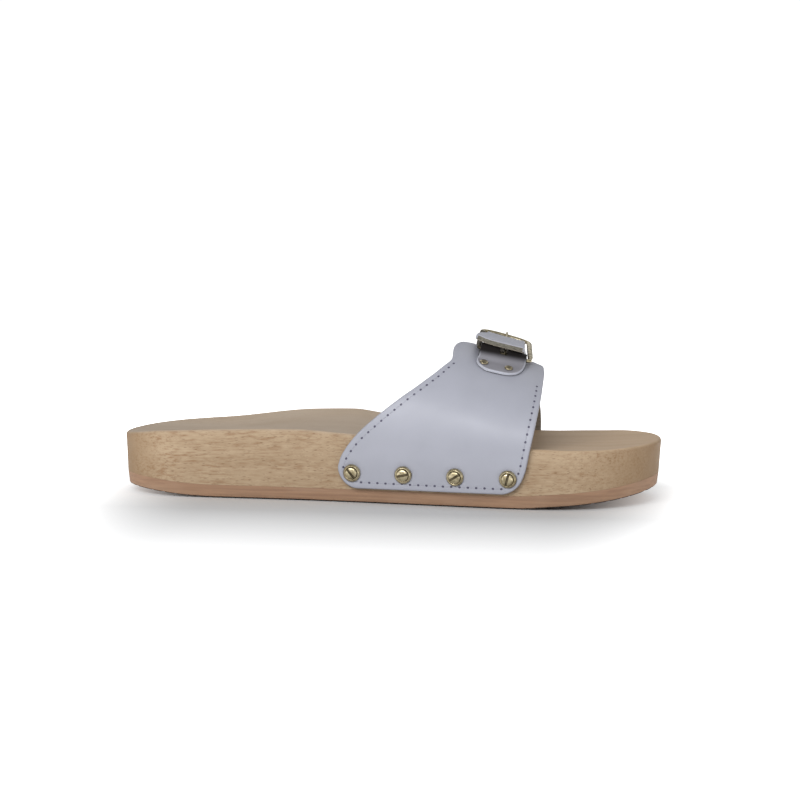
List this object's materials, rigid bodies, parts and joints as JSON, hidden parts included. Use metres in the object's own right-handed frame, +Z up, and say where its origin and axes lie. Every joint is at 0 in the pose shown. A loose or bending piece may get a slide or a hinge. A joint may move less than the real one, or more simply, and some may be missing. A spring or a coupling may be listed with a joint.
{
  "type": "slide sandal",
  "caption": "Right-foot slide sandal: contoured wooden footbed on a rubber outsole, with a screwed-on leather band over the instep and a buckled strap.",
  "frame": {"origin": "on the ground under the middle of the whole shoe's bounding box", "axes": "+X toward the toe, +Y toward the inner side of the foot, +Z up"},
  "size_m": [0.25, 0.1014, 0.0766],
  "materials": {
    "beech": "oiled beech, lengthwise grain",
    "rubber": "matt tan rubber sheet",
    "leather": "smooth pale lavender-grey leather",
    "brass": "polished brass, slightly dulled"
  },
  "bodies": {
    "root": {"footbed": "beech", "outsole": "rubber", "upper": "leather", "buckle_tab": "leather", "buckle_frame": "brass", "buckle_prong": "brass", "tab_rivet_rear": "brass", "tab_rivet_front": "brass", "screw_outer_1": "brass", "washer_outer_1": "brass", "screw_outer_2": "brass", "washer_outer_2": "brass", "screw_outer_3": "brass", "washer_outer_3": "brass", "screw_outer_4": "brass", "washer_outer_4": "brass", "screw_inner_1": "brass", "washer_inner_1": "brass", "screw_inner_2": "brass", "washer_inner_2": "brass", "screw_inner_3": "brass", "washer_inner_3": "brass", "screw_inner_4": "brass", "washer_inner_4": "brass"}
  },
  "joints": []
}
